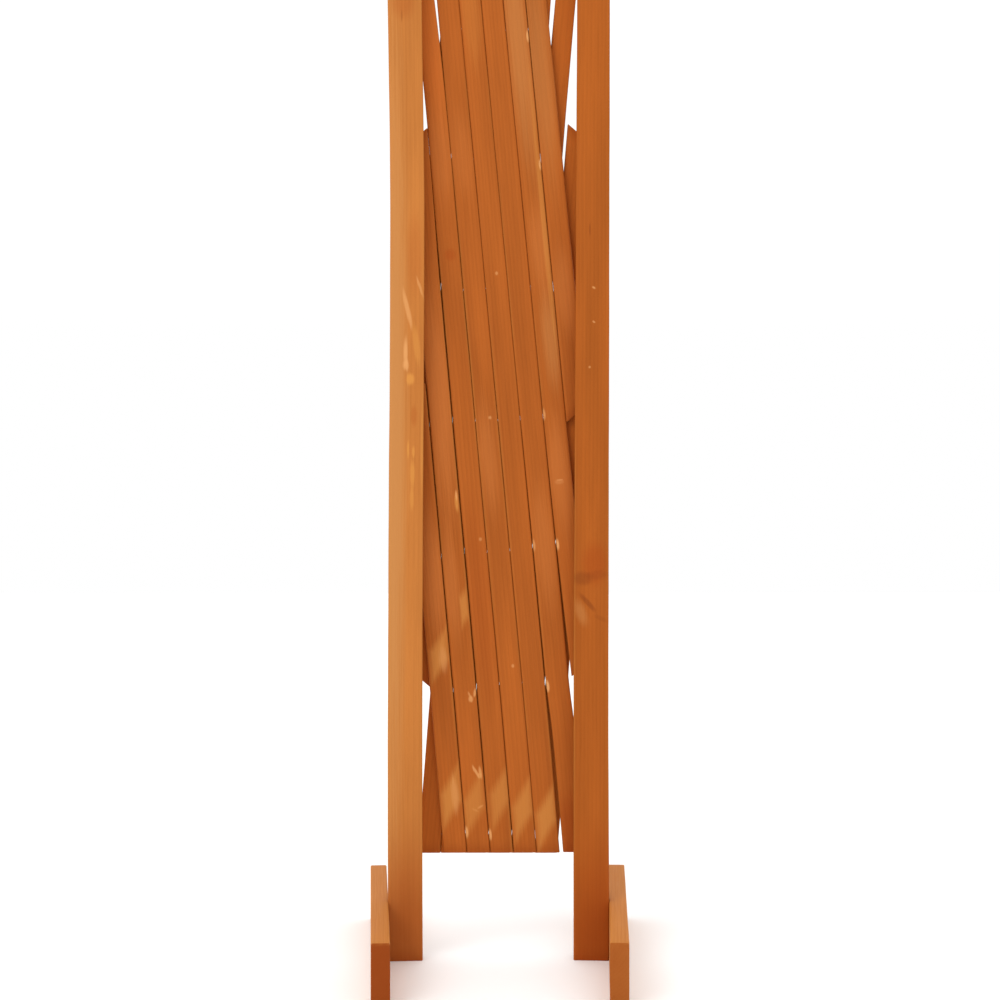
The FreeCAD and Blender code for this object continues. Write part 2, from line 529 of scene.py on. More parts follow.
def turned(bm: bmesh.types.BMesh, profile: Points, matrix: Matrix, sides: int) -> None:
    """Add a turned solid to a mesh under construction.

    Args:
        bm: Mesh under construction.
        profile: Radius and place along the axis, from pole to pole; the poles have radius 0.
        matrix: Frame of the solid, whose Z is the axis.
        sides: Number of sides round the axis.
    """
    rings = []
    for radius, along in profile[1:-1]:
        spots = (2 * math.pi * side / sides for side in range(sides))
        points = [Vector((radius * math.cos(s), radius * math.sin(s), along)) for s in spots]
        rings.append([bm.verts.new(matrix @ point) for point in points])
    for near, far in zip(rings, rings[1:]):
        for side in range(sides):
            bm.faces.new((near[side - 1], near[side], far[side], far[side - 1]))
    for ring, (_, along) in ((rings[0], profile[0]), (rings[-1], profile[-1])):
        pole = bm.verts.new(matrix @ Vector((0, 0, along)))
        for side in range(sides):
            bm.faces.new((ring[side - 1], ring[side], pole))


def prism(bm: bmesh.types.BMesh, outline: Points, length: float, matrix: Matrix) -> None:
    """Add a straight prism to a mesh under construction.

    Args:
        bm: Mesh under construction.
        outline: Corners of the section.
        length: Length along Z.
        matrix: Frame of the prism.
    """
    ends = [[bm.verts.new(matrix @ Vector((x, y, z))) for x, y in outline] for z in (0.0, length)]
    for index in range(len(outline)):
        bm.faces.new((ends[0][index - 1], ends[0][index], ends[1][index], ends[1][index - 1]))
    bm.faces.new(list(reversed(ends[0])))
    bm.faces.new(ends[1])


def cut(mesh: bpy.types.Mesh, cutter: bpy.types.Mesh) -> bpy.types.Mesh:
    """Cut one mesh out of another.

    Args:
        mesh: Mesh to be cut, which is used up.
        cutter: Mesh that is taken away, which is used up.

    Returns:
        The cut mesh.
    """
    links = bpy.context.scene.collection.objects
    name = mesh.name
    blank = bpy.data.objects.new("blank", mesh)
    tool = bpy.data.objects.new("tool", cutter)
    for made in (blank, tool):
        links.link(made)
    change = blank.modifiers.new("cut", "BOOLEAN")
    change.object = tool
    change.operation = "DIFFERENCE"
    change.solver = "EXACT"
    graph = bpy.context.evaluated_depsgraph_get()
    result = bpy.data.meshes.new_from_object(blank.evaluated_get(graph))
    for made in (blank, tool):
        bpy.data.objects.remove(made)
    for used in (mesh, cutter):
        bpy.data.meshes.remove(used)
    result.name = name
    return result


def add_piece(
    mesh: bpy.types.Mesh, matrix: Matrix, body: str, node: str, material: bpy.types.Material
) -> None:
    """Put a finished mesh in place of a CAD node.

    Args:
        mesh: Mesh of the piece; the piece takes its name.
        matrix: Place of the piece.
        body: CAD body that the piece rides on.
        node: CAD node that it stands for.
        material: Finish.
    """
    mesh.materials.clear()
    mesh.materials.append(material)
    mesh.shade_smooth()
    mesh.set_sharp_from_angle(angle=CREASE)
    piece = bpy.data.objects.new(mesh.name, mesh)
    bpy.context.scene.collection.objects.link(piece)
    piece.matrix_world = matrix
    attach(piece, body)
    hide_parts(node)
    LOG.info("%s rides on %s for %s: %d points", piece.name, body, node, len(mesh.vertices))


@dataclass(frozen=True)
class StainedWood:
    """Finish of planed and stained softwood.

    Attributes:
        pale: Colour of the open early wood.
        deep: Colour of the dense late wood.
        figure: How strongly the growth rings show.
        cloud: How strongly the stain is blotched.
        heart: Place of the pith across and behind the face, in millimetres.
        seed: Number that sets the pattern apart from other boards.
        end_shade: How much the ends soak up the stain.
        end_reach: How far the stain soaks in from the ends, in millimetres.
        soaked: Colour of the ends.
        edge_wear: How far the long edges are rubbed pale.
    """

    pale: Colour
    deep: Colour
    figure: float = 0.16
    cloud: float = 1.5
    heart: tuple[float, float] = (30.0, 22.0)
    seed: float = 0.0
    end_shade: float = 0.35
    end_reach: float = 22.0
    soaked: Colour = screen(134, 56, 8)
    edge_wear: float = 0.3

    def material(self, name: str, board: Board, marks: Iterable[Mark]) -> bpy.types.Material:
        """Build the finish for one board.

        Args:
            name: Name of the material.
            board: Board that it covers.
            marks: Local marks in the wood, and patches of painted light and painted shade.

        Returns:
            The material.
        """
        lot_step = (0.61, 0.27, 1.94)
        fibre_cells = (950, 950, 16)
        cloud_cells = (42, 42, 4.2)
        vein_cells = (230, 230, 2.6)
        vein_edge = (0.56, 0.78)
        vein_share = 0.3
        fibre_share = 0.5
        middle_tone = 0.4
        smoothest, rough_swing = 0.52, 0.24
        ring_relief = -0.5
        graph = Graph(name)
        place = graph.node("ShaderNodeAttribute", attribute_name=GRAIN_PLACE).outputs["Vector"]
        lot_shift = tuple(self.seed * step for step in lot_step)
        lot = graph.vector("ADD", place, lot_shift).outputs["Vector"]
        late = self.late_wood(graph, place, lot)
        fibre = graph.noise(lot, fibre_cells, 3).outputs["Fac"]
        cloud = graph.noise(lot, cloud_cells, 3).outputs["Fac"]
        vein = graph.step(graph.noise(lot, vein_cells, 2).outputs["Fac"], *vein_edge)

        depth = graph.math("MULTIPLY", late, self.figure)
        for noise, share in ((fibre, fibre_share), (cloud, self.cloud)):
            depth = graph.math("MULTIPLY_ADD", graph.math("SUBTRACT", noise, NOISE_MEAN), share, depth)
        depth = graph.math("ADD", depth, middle_tone, clamp=True)
        colour = graph.blend(depth, self.pale, self.deep)
        colour = graph.blend(graph.math("MULTIPLY", vein, vein_share), colour, self.pale)
        colour = self.worn(graph, colour, place, board, cloud)
        for mark in marks:
            colour = self.marked(graph, colour, place, board, mark, fibre)

        rough = graph.math("MULTIPLY_ADD", fibre, rough_swing, smoothest)
        relief = graph.math("MULTIPLY_ADD", late, ring_relief, fibre)
        return graph.shade(
            Base_Color=colour,
            Roughness=rough,
            Specular_IOR_Level=0.1,
            Normal=graph.bump(relief, 0.3, 0.12 * MM),
        )

    def from_log(self, seed: int) -> "StainedWood":
        """Give the same stain on a board sawn from another place in the log.

        Args:
            seed: Number of the board.

        Returns:
            The finish with its own pattern and place of the pith.
        """
        aside = math.copysign(30.0 + 8.0 * math.sin(2.3 * seed), math.sin(1.1 * seed))
        behind = 22.0 + 7.0 * math.cos(1.7 * seed)
        return replace(self, seed=seed, heart=(aside, behind))

    def late_wood(self, graph: Graph, place: Socket, lot: Socket) -> Socket:
        """Lay the growth rings of the log through the board.

        Args:
            graph: Node tree.
            place: Place in the board.
            lot: Place shifted by the board's seed.

        Returns:
            Share of dense late wood, from 0 to 1.
        """
        drift_cells = (16, 16, 2.4)
        drift_reach = (0.005, 0.005, 0.0)
        tilt = 0.006
        twist = 0.012 * math.cos(7 * self.seed)
        late_edge = (0.2, 1.0)
        ring_look = {"Scale": 88.0, "Distortion": 0.9, "Detail": 2.0, "Detail Scale": 1.2}
        drift = graph.noise(lot, drift_cells, 2).outputs["Color"]
        drift = graph.vector("SUBTRACT", drift, (NOISE_MEAN,) * 3).outputs["Vector"]
        drift = graph.vector("MULTIPLY", drift, drift_reach).outputs["Vector"]
        log = graph.node("ShaderNodeMapping")
        graph.feed(log.inputs["Vector"], graph.vector("ADD", place, drift).outputs["Vector"])
        log.inputs["Location"].default_value = (self.heart[0] * MM, self.heart[1] * MM, 0)
        log.inputs["Rotation"].default_value = (tilt, twist, 0)
        rings = graph.node("ShaderNodeTexWave", wave_type="RINGS", rings_direction="Z", wave_profile="SAW")
        graph.feed(rings.inputs["Vector"], log.outputs["Vector"])
        for socket, value in ring_look.items():
            rings.inputs[socket].default_value = value
        return graph.step(rings.outputs["Fac"], *late_edge)

    def worn(self, graph: Graph, colour: Socket, place: Socket, board: Board, cloud: Socket) -> Socket:
        """Darken the ends, which soak up stain, and rub the long edges pale.

        Args:
            graph: Node tree.
            colour: Colour so far.
            place: Place in the board.
            board: Board that is covered.
            cloud: Slow noise that breaks up the wear.

        Returns:
            The new colour.
        """
        split = graph.node("ShaderNodeSeparateXYZ")
        graph.feed(split.inputs["Vector"], place)
        across, along = split.outputs["X"], split.outputs["Z"]
        rub_start = board.width / 2 - 3.2 * MM
        rub_full = board.width / 2 - 0.4 * MM
        rub_patches = (0.42, 0.66)
        lower_end = graph.math("MULTIPLY_ADD", across, board.low_slope, board.low)
        upper_end = graph.math("MULTIPLY_ADD", across, board.high_slope, board.high)
        over_lower = graph.math("SUBTRACT", along, lower_end)
        under_upper = graph.math("SUBTRACT", upper_end, along)
        near_end = graph.math("MINIMUM", over_lower, under_upper)
        soaked = graph.step(near_end, self.end_reach * MM, 0.0)
        soaked = graph.math("MULTIPLY", graph.math("POWER", soaked, 2.0), self.end_shade)
        colour = graph.blend(soaked, colour, self.soaked)
        rubbed = graph.step(graph.math("ABSOLUTE", across), rub_start, rub_full)
        rubbed = graph.math("MULTIPLY", rubbed, graph.step(cloud, *rub_patches))
        rubbed = graph.math("MULTIPLY", rubbed, self.edge_wear)
        return graph.blend(rubbed, colour, MarkKind.RESIN.value.colour)

    @staticmethod
    def marked(
        graph: Graph, colour: Socket, place: Socket, board: Board, mark: Mark, fibre: Socket
    ) -> Socket:
        """Lay one local mark over the colour of the front face.

        Args:
            graph: Node tree.
            colour: Colour so far.
            place: Place in the board.
            board: Board that is covered.
            mark: The mark.
            fibre: Fine noise that frays the mark's edge.

        Returns:
            The new colour.
        """
        look = mark.kind.value
        fade_start = 0.3 * board.thickness
        fade_end = 0.7 * board.thickness
        away = graph.vector("SUBTRACT", place, (mark.across * MM, 0.0, mark.along * MM)).outputs["Vector"]
        split = graph.node("ShaderNodeSeparateXYZ")
        graph.feed(split.inputs["Vector"], away)
        side = graph.math("MULTIPLY_ADD", split.outputs["Z"], -mark.lean, split.outputs["X"])
        side = graph.math("ABSOLUTE", graph.math("DIVIDE", side, mark.half_across * MM))
        rise = graph.math("MULTIPLY_ADD", split.outputs["X"], -mark.slant, split.outputs["Z"])
        rise = graph.math("ABSOLUTE", graph.math("DIVIDE", rise, mark.half_along * MM))
        if look.square:
            reach = graph.math("MAXIMUM", side, rise)
        else:
            reach = graph.math("MULTIPLY_ADD", side, side, graph.math("MULTIPLY", rise, rise))
            reach = graph.math("SQRT", reach)
        frayed = graph.math("MULTIPLY_ADD", graph.math("SUBTRACT", fibre, NOISE_MEAN), look.fray, reach)
        front = graph.step(split.outputs["Y"], fade_end, fade_start)
        share = graph.math("MULTIPLY", graph.step(frayed, 1.0, look.core), mark.strength)
        share = graph.math("MULTIPLY", share, front)
        return graph.blend(share, colour, look.colour)

    def dress(
        self,
        board: Board,
        cutter: bpy.types.Mesh,
        marks: Iterable[Mark],
        matrix: Matrix,
        body: str,
        node: str,
        slot: str,
    ) -> None:
        """Cut a board, stain it and put it in place of its CAD node.

        Args:
            board: The sawn board.
            cutter: Bores and grooves, in the board's frame.
            marks: Local marks in the wood, and patches of painted light and painted shade.
            matrix: Place of the board.
            body: CAD body that it rides on.
            node: CAD node that it stands for.
            slot: Material slot of the record; not used.
        """
        mesh = cut(board.mesh(f"{node}_wood"), cutter)
        board.mark_grain(mesh)
        add_piece(mesh, matrix, body, node, self.material(f"{node}_stain", board, marks))


@dataclass(frozen=True)
class ZincSteel:
    """Finish of bright zinc-plated steel.

    Attributes:
        bright: Colour of the clean plating.
        dull: Colour of the clouded plating.
    """

    bright: Colour = screen(196, 198, 196)
    dull: Colour = screen(142, 143, 140)

    def material(self, name: str) -> bpy.types.Material:
        """Build the finish.

        Args:
            name: Name of the material.

        Returns:
            The material.
        """
        cloud_cells = (260, 260, 260)
        scratch_cells = (2400, 300, 2400)
        dull_edge = (0.35, 0.7)
        smoothest, rough_swing = 0.22, 0.3
        graph = Graph(name)
        place = graph.node("ShaderNodeTexCoord").outputs["Object"]
        cloud = graph.noise(place, cloud_cells, 3).outputs["Fac"]
        scratch = graph.noise(place, scratch_cells, 2).outputs["Fac"]
        return graph.shade(
            Base_Color=graph.blend(graph.step(cloud, *dull_edge), self.bright, self.dull),
            Metallic=1.0,
            Roughness=graph.math("MULTIPLY_ADD", cloud, rough_swing, smoothest),
            Normal=graph.bump(scratch, 0.2, 0.05 * MM),
        )


@dataclass(frozen=True)
class Lattice:
    """Pivot grid and slat sizes of the folded lattice, in metres.

    Attributes:
        slats: Slats in each layer.
        rows: Rows of pivots.
        spacing: Spacing of the slats of one layer.
        pitch: Distance between pivots along a slat.
        middle: Height of the middle row.
        open_lean: Lean of the slats on the open fence, in degrees.
        thickness: Thickness of a slat.
        gap: Gap between slats that a share of 1 leaves in the lowest row.
        taper: Width that a slat loses for each unit of its length.
        end_overhang: Length of a slat past its last row.
        side_overhang: Length of a slat past its last pivot behind a post.
        guide_rows: Lower and upper row of the guide pins, which slide in the posts' grooves.
    """

    slats: int = 8
    rows: int = 7
    spacing: float = 25.3 * MM
    pitch: float = 140 * MM
    middle: float = 600 * MM
    open_lean: float = 55.0
    thickness: float = 8 * MM
    gap: float = 1.0 * MM
    taper: float = 0.0011
    end_overhang: float = 68 * MM
    side_overhang: float = 18 * MM
    guide_rows: tuple[int, int] = (1, 5)

    @property
    def lean(self) -> float:
        """Lean of the folded slats from upright, in radians."""
        return math.asin(self.spacing / (2 * self.pitch))

    @property
    def last_column(self) -> int:
        """Number of the last column of pivots."""
        return 2 * (self.slats - 1)

    @property
    def middle_row(self) -> int:
        """Number of the middle row of pivots."""
        return (self.rows - 1) // 2

    def point(self, pivot: Pivot, depth: float) -> Vector:
        """Give the place of a pivot.

        Args:
            pivot: Column and row of the pivot.
            depth: Depth of the wanted point.

        Returns:
            The point in the fence's frame.
        """
        column, row = pivot
        x = (column - self.last_column / 2) * self.spacing / 2
        z = self.middle + (row - self.middle_row) * self.pitch * math.cos(self.lean)
        return Vector((x, depth, z))

    def pivots(self, layer: Layer, index: int) -> list[Pivot]:
        """List the pivots of a slat from its lower to its upper end.

        Args:
            layer: Layer of the slat.
            index: Number of the slat, from 0 at the left.

        Returns:
            Column and row of each pivot.
        """
        hand = layer.value
        diagonal = 2 * index + hand * self.middle_row
        line = [(diagonal - hand * row, row) for row in range(self.rows)]
        return [pivot for pivot in line if 0 <= pivot[0] <= self.last_column]

    def grid(self, layer: Layer) -> set[Pivot]:
        """Give all the pivots that a layer's slats pass."""
        return {pivot for index in range(self.slats) for pivot in self.pivots(layer, index)}

    def crossings(self) -> set[Pivot]:
        """Give the pivots where two slats are nailed together."""
        posts = {(column, self.middle_row) for column in (0, self.last_column)}
        return (self.grid(Layer.FRONT) & self.grid(Layer.BACK)) - posts


@dataclass(frozen=True)
class SlatHabit:
    """What sets one slat apart from its neighbours.

    Attributes:
        gap_share: Share of the lattice's gap that its sawn width leaves.
        sway: Rows of pivots and the sideways shift of the slat there, in millimetres.
        marks: Local marks, from its lowest pivot.
        low_trim: Length that its lower end is cut shorter, in millimetres.
        high_trim: Length that its upper end is cut shorter, in millimetres.
        upper_loss: Width that it loses besides towards its upper end, in millimetres.
    """

    gap_share: float
    sway: tuple[tuple[float, float], ...]
    marks: tuple[Mark, ...] = ()
    low_trim: float = 0.0
    high_trim: float = 0.0
    upper_loss: float = 0.0


@dataclass(frozen=True)
class Slat:
    """One slat of the lattice.

    Attributes:
        lattice: Grid that it belongs to.
        layer: Layer that it lies in.
        index: Number from 0 at the left.
        habit: What sets it apart from its neighbours.
        finish: Finish of the wood.
    """

    lattice: Lattice
    layer: Layer
    index: int
    habit: SlatHabit
    finish: StainedWood

    @property
    def node(self) -> str:
        """Name of the CAD node and body."""
        return f"{self.layer.name.lower()}_slat_{self.index + 1}"

    @property
    def depth(self) -> float:
        """Depth of the front face."""
        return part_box(self.node)[0].y

    def board(self) -> Board:
        """Work out the slat's board.

        Returns:
            The board, level at the free ends and mitred behind the posts.
        """
        lattice = self.lattice
        hand = self.layer.value
        pivots = lattice.pivots(self.layer, self.index)
        level = -hand * math.tan(lattice.lean)
        plumb = hand / math.tan(math.radians(lattice.open_lean))
        first_row = pivots[0][1]
        free_low = first_row == 0
        free_high = pivots[-1][1] == lattice.rows - 1
        lost = lattice.gap * self.habit.gap_share + lattice.taper * first_row * lattice.pitch
        below = lattice.end_overhang if free_low else lattice.side_overhang
        above = lattice.end_overhang if free_high else lattice.side_overhang
        high = (len(pivots) - 1) * lattice.pitch + above - self.habit.high_trim * MM
        sway = tuple(((row - first_row) * lattice.pitch / MM, shift) for row, shift in self.habit.sway)
        return Board(
            width=lattice.spacing * math.cos(lattice.lean) - lost,
            thickness=lattice.thickness,
            low=self.habit.low_trim * MM - below,
            high=high,
            low_slope=level if free_low else plumb,
            high_slope=level if free_high else plumb,
            bow=Bow(sway),
            taper=lattice.taper + self.habit.upper_loss * MM / high,
            seed=self.index + (0 if self.layer is Layer.FRONT else lattice.slats),
        )

    def matrix(self) -> Matrix:
        """Give the slat's frame: its lowest pivot and its lean."""
        start = self.lattice.point(self.lattice.pivots(self.layer, self.index)[0], self.depth)
        return Matrix.Translation(start) @ Matrix.Rotation(-self.layer.value * self.lattice.lean, 4, "Y")

    def bores(self) -> bpy.types.Mesh:
        """Make the cutter of the bores for the nails and screws.

        Returns:
            Cutter in the slat's frame.
        """
        lattice = self.lattice
        nail_bore = 1.55 * MM
        screw_bore = 2.05 * MM
        over = 1 * MM
        cover = 1.3 * MM
        end = lattice.thickness + over
        crossings = lattice.crossings()
        bm = bmesh.new()
        for step, pivot in enumerate(lattice.pivots(self.layer, self.index)):
            nailed = pivot in crossings
            if not nailed and pivot[0] not in (0, lattice.last_column):
                continue
            radius = nail_bore if nailed or pivot[1] != lattice.middle_row else screw_bore
            start = cover if nailed and self.layer is Layer.FRONT else -over
            profile = [(0, start), (radius, start), (radius, end), (0, end)]
            frame = Matrix.Translation((0, 0, step * lattice.pitch)) @ REARWARD
            turned(bm, profile, frame, NAIL_SIDES)
        return finished_mesh(bm, "bores")

    def build(self) -> None:
        """Make the slat and put it in place of its CAD node."""
        slot = f"{self.layer.name.lower()}_slat_wood"
        marks = self.habit.marks
        self.finish.dress(self.board(), self.bores(), marks, self.matrix(), self.node, self.node, slot)


@dataclass(frozen=True)
class Nail:
    """Round nail with a low domed head, in millimetres.

    Attributes:
        radius: Radius of the shank.
        head_radius: Radius of the head.
        head_height: Height of the head.
        point: Length of the point.
    """

    radius: float = 1.5
    head_radius: float = 3.5
    head_height: float = 1.2
    point: float = 2.2

    def profile(self, reach: float) -> Points:
        """Give the turned profile with the head's seat at 0.

        Args:
            reach: Length of the shank before the seat, in metres.

        Returns:
            Radius and place along the axis, in metres.
        """
        head = ((0.93, 0.0), (1.0, 0.2), (0.99, 0.42), (0.88, 0.68), (0.64, 0.88), (0.32, 0.98), (0.0, 1.0))
        tip = -reach / MM
        points = [(0.0, tip), (0.3 * self.radius, tip + 0.2), (self.radius, tip + self.point)]
        points.append((self.radius, 0.0))
        points += [(r * self.head_radius, h * self.head_height) for r, h in head]
        return [(r * MM, z * MM) for r, z in points]

    def drive(
        self,
        name: str,
        lattice: Lattice,
        pivots: Iterable[Pivot],
        body: str,
        node: str,
        steel: bpy.types.Material,
    ) -> None:
        """Drive a nail from the rear at each of some pivots, in place of one CAD node.

        Args:
            name: Name of the piece.
            lattice: Grid of the pivots.
            pivots: Pivots that get a nail.
            body: CAD body that the nails ride on.
            node: CAD node that they stand for.
            steel: Finish.
        """
        low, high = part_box(node)
        seat = high.y - self.head_height * MM
        profile = self.profile(seat - low.y)
        bm = bmesh.new()
        for pivot in pivots:
            frame = Matrix.Translation(lattice.point(pivot, seat)) @ REARWARD
            turned(bm, profile, frame, NAIL_SIDES)
        add_piece(finished_mesh(bm, name), Matrix(), body, node, steel)


@dataclass(frozen=True)
class CrossScrew:
    """Screw with a cross recess, in millimetres; its axis points out of the head.

    Attributes:
        radius: Radius of the shank.
        head_radius: Radius of the head.
        rise: Height of the head over its seat, or 0 for a countersunk head.
        length: Length of the shank below the head's rim.
        point: Length of the point.
        recess: Width of the recess's slots.
        recess_depth: Depth of the recess.
        recess_share: Reach of the slots as a share of the head's radius.
    """

    radius: float
    head_radius: float
    rise: float
    length: float
    point: float = 5.0
    recess: float = 1.0
    recess_depth: float = 1.3
    recess_share: float = 0.58

    def profile(self) -> Points:
        """Give the turned profile with the head's rim at 0.

        Returns:
            Radius and place along the axis, in metres.
        """
        dome = ((0.96, 0.0), (1.0, 0.12), (0.99, 0.45), (0.9, 0.75), (0.68, 0.93), (0.35, 1.0), (0.0, 1.0))
        end = -self.length
        tip = [(0.0, end), (0.25 * self.radius, end + 0.3), (self.radius, self.point - self.length)]
        if self.rise > 0:
            head = [(self.radius, 0.0)] + [(r * self.head_radius, h * self.rise) for r, h in dome]
        else:
            sunk = self.head_radius - self.radius
            head = [(self.radius, -sunk), (self.head_radius - 0.15, -0.15), (self.head_radius - 0.2, -0.05)]
            head += [(0.7 * self.head_radius, 0.0), (0.0, 0.0)]
        return [(r * MM, z * MM) for r, z in tip + head]

    def mesh(self, name: str, frames: Sequence[Matrix]) -> bpy.types.Mesh:
        """Make one screw in each frame.

        Args:
            name: Name of the mesh.
            frames: Frames whose Z points out of the head.

        Returns:
            The mesh.
        """
        bm = bmesh.new()
        slots = bmesh.new()
        half = self.recess_share * self.head_radius * MM
        wide = self.recess / 2 * MM
        arms = ((half, -wide), (half, wide), (wide, wide), (wide, half), (-wide, half), (-wide, wide))
        cross = list(arms) + [(-x, -y) for x, y in arms]
        for frame in frames:
            turned(bm, self.profile(), frame, SCREW_SIDES)
            floor = Matrix.Translation((0, 0, (self.rise - self.recess_depth) * MM))
            prism(slots, cross, (self.recess_depth + 1) * MM, frame @ floor)
        return cut(finished_mesh(bm, name), finished_mesh(slots, "slots"))


@dataclass(frozen=True)
class EndStand:
    """Post, foot board and screws at one end of the fence, in millimetres.

    Attributes:
        side: End of the fence.
        lattice: Lattice that the post carries.
        post_finish: Finish of the post.
        foot_finish: Finish of the foot.
        post_marks: Marks in the post, including painted shade near its bottom.
        post_bow: Sideways bend of the post.
        post_flare: Width that the post gains towards the ground.
        height: Height of the post.
        width: Width of the post.
        thickness: Thickness of the post and of the foot board.
        foot_length: Length of the foot.
        foot_height: Height of the foot.
        toe_in: Angle by which the stand is turned, in degrees.
        pivot_edge: Distance of the pivot from the post's inner edge.
        ease: Radius of the long edges of the post and of the foot.
    """

    side: Side
    lattice: Lattice
    post_finish: StainedWood
    foot_finish: StainedWood
    post_marks: tuple[Mark, ...] = ()
    post_bow: Bow = Bow()
    post_flare: float = 1.0
    height: float = 1100.0
    width: float = 37.0
    thickness: float = 19.0
    foot_length: float = 350.0
    foot_height: float = 64.0
    toe_in: float = 4.0
    pivot_edge: float = 4.7
    ease: float = 1.6

    @property
    def name(self) -> str:
        """Name of the end."""
        return self.side.name.lower()

    @property
    def body(self) -> str:
        """CAD body of the stand."""
        return f"{self.name}_side"

    @property
    def column(self) -> int:
        """Column of the pivots behind the post."""
        return 0 if self.side is Side.LEFT else self.lattice.last_column

    @property
    def rear(self) -> float:
        """Depth of the post's rear inner edge, in metres."""
        turn = math.radians(self.toe_in)
        arm = (self.width + self.thickness / 2) * math.sin(turn)
        return (arm + self.thickness / 2 * math.cos(turn)) * MM

    def frame(self) -> Matrix:
        """Work out the frame of the stand.

        Returns:
            The frame, at the post's rear inner edge on the ground.
        """
        sign = self.side.value
        reach = -self.lattice.point((0, 0), 0).x - self.pivot_edge * MM
        turn = Matrix.Rotation(math.radians(-sign * self.toe_in), 4, "Z")
        return Matrix.Translation((sign * reach, self.rear, 0)) @ turn

    def grooves(self, matrix: Matrix) -> bpy.types.Mesh:
        """Give the round-ended grooves of the guide pins.

        Args:
            matrix: Frame of the post.

        Returns:
            Cutter in the post's frame.
        """
        lattice = self.lattice
        radius = 1.8 * MM
        depth = 10 * MM
        play = 2 * MM
        arc_steps = 16
        bm = bmesh.new()
        for row in lattice.guide_rows:
            folded = lattice.point((self.column, row), self.rear - depth)
            shut = folded.z - lattice.middle
            opened = shut * math.cos(math.radians(lattice.open_lean)) / math.cos(lattice.lean)
            low, high = sorted((shut, opened))
            outline = []
            for half_turn, end, past in ((0, high, play), (1, low, -play)):
                for step in range(arc_steps + 1):
                    turn = math.pi * (half_turn + step / arc_steps)
                    along = radius * math.sin(turn) + end - shut + past
                    outline.append((radius * math.cos(turn), -along))
            place = matrix.inverted() @ Matrix.Translation(folded) @ REARWARD
            prism(bm, outline, depth + play, place)
        return finished_mesh(bm, "grooves")

    def build_post(self) -> None:
        """Make the post with its grooves."""
        size = [value * MM for value in (self.width, self.thickness, self.height)]
        matrix = self.frame() @ Matrix.Translation((self.side.value * size[0] / 2, -size[1], 0))
        board = Board(
            size[0] + self.post_flare / 2 * MM,
            size[1],
            0.0,
            size[2],
            ease=self.ease * MM,
            end_ease=0.8 * MM,
            bow=self.post_bow,
            taper=self.post_flare / self.height,
            seed=POST_SEED + self.side.value,
        )
        node = f"{self.name}_post"
        grooves = self.grooves(matrix)
        self.post_finish.dress(board, grooves, self.post_marks, matrix, self.body, node, "post_wood")

    def screw_frames(self) -> list[Matrix]:
        """Work out the frames of the foot screws.

        Returns:
            The frames, whose Z points out of the foot.
        """
        edge = 16.0
        sign = self.side.value
        outer = sign * (self.width + self.thickness) * MM
        outward = Matrix.Rotation(sign * math.pi / 2, 4, "Y")
        return [
            self.frame() @ Matrix.Translation((outer, -self.thickness / 2 * MM, height * MM)) @ outward
            for height in (edge, self.foot_height - edge)
        ]

    def build_foot(self, steel: bpy.types.Material) -> None:
        """Make the foot board with countersinks, and its screws.

        Args:
            steel: Finish of the screws.
        """
        clearance = 0.15
        sign = self.side.value
        inner = (self.width if sign > 0 else -self.width - self.thickness) * MM
        upright = Matrix(((0, 1, 0, 0), (0, 0, 1, 0), (1, 0, 0, 0), (0, 0, 0, 1)))
        corner = Matrix.Translation((inner, -self.thickness / 2 * MM, self.foot_height / 2 * MM))
        matrix = self.frame() @ corner @ upright
        half = self.foot_length / 2 * MM
        board = Board(
            self.foot_height * MM,
            self.thickness * MM,
            -half,
            half,
            ease=self.ease * MM,
            end_ease=1.0 * MM,
            seed=FOOT_SEED + sign,
        )
        screw = CrossScrew(radius=2.0, head_radius=4.0, rise=0.0, length=44.0)
        node = f"{self.name}_foot"
        sinks = self.sinks(screw, clearance, matrix)
        self.foot_finish.dress(board, sinks, (), matrix, self.body, node, "foot_wood")
        sunk = Matrix.Translation((0, 0, -clearance * MM))
        screws = screw.mesh(f"{node}_screws_steel", [frame @ sunk for frame in self.screw_frames()])
        add_piece(screws, Matrix(), self.body, f"{node}_screws", steel)

    def sinks(self, screw: CrossScrew, clearance: float, matrix: Matrix) -> bpy.types.Mesh:
        """Make the cutter of the bores and countersinks in the foot.

        Args:
            screw: Screw that goes in.
            clearance: Room round the screw's head, in millimetres.
            matrix: Frame of the foot.

        Returns:
            Cutter in the foot's frame.
        """
        wide = (screw.head_radius + clearance) * MM
        narrow = screw.radius * MM
        rim = -(screw.head_radius - screw.radius) * MM
        bore_end = -30 * MM
        profile = [(0, bore_end), (narrow, bore_end), (narrow, rim), (wide, 0), (wide, MM), (0, MM)]
        bm = bmesh.new()
        for frame in self.screw_frames():
            turned(bm, profile, matrix.inverted() @ frame, SCREW_SIDES)
        return finished_mesh(bm, "sinks")

    def build_pivot(self, steel: bpy.types.Material) -> None:
        """Make the screw that holds the lattice to the post.

        Args:
            steel: Finish of the screw.
        """
        node = f"{self.name}_pivot_screw"
        low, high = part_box(node)
        rise = 2.2
        seat = high.y - rise * MM
        place = self.lattice.point((self.column, self.lattice.middle_row), seat)
        screw = CrossScrew(radius=2.0, head_radius=4.5, rise=rise, length=(seat - low.y) / MM)
        mesh = screw.mesh(f"{node}_steel", [Matrix.Translation(place) @ REARWARD])
        add_piece(mesh, Matrix(), self.body, node, steel)


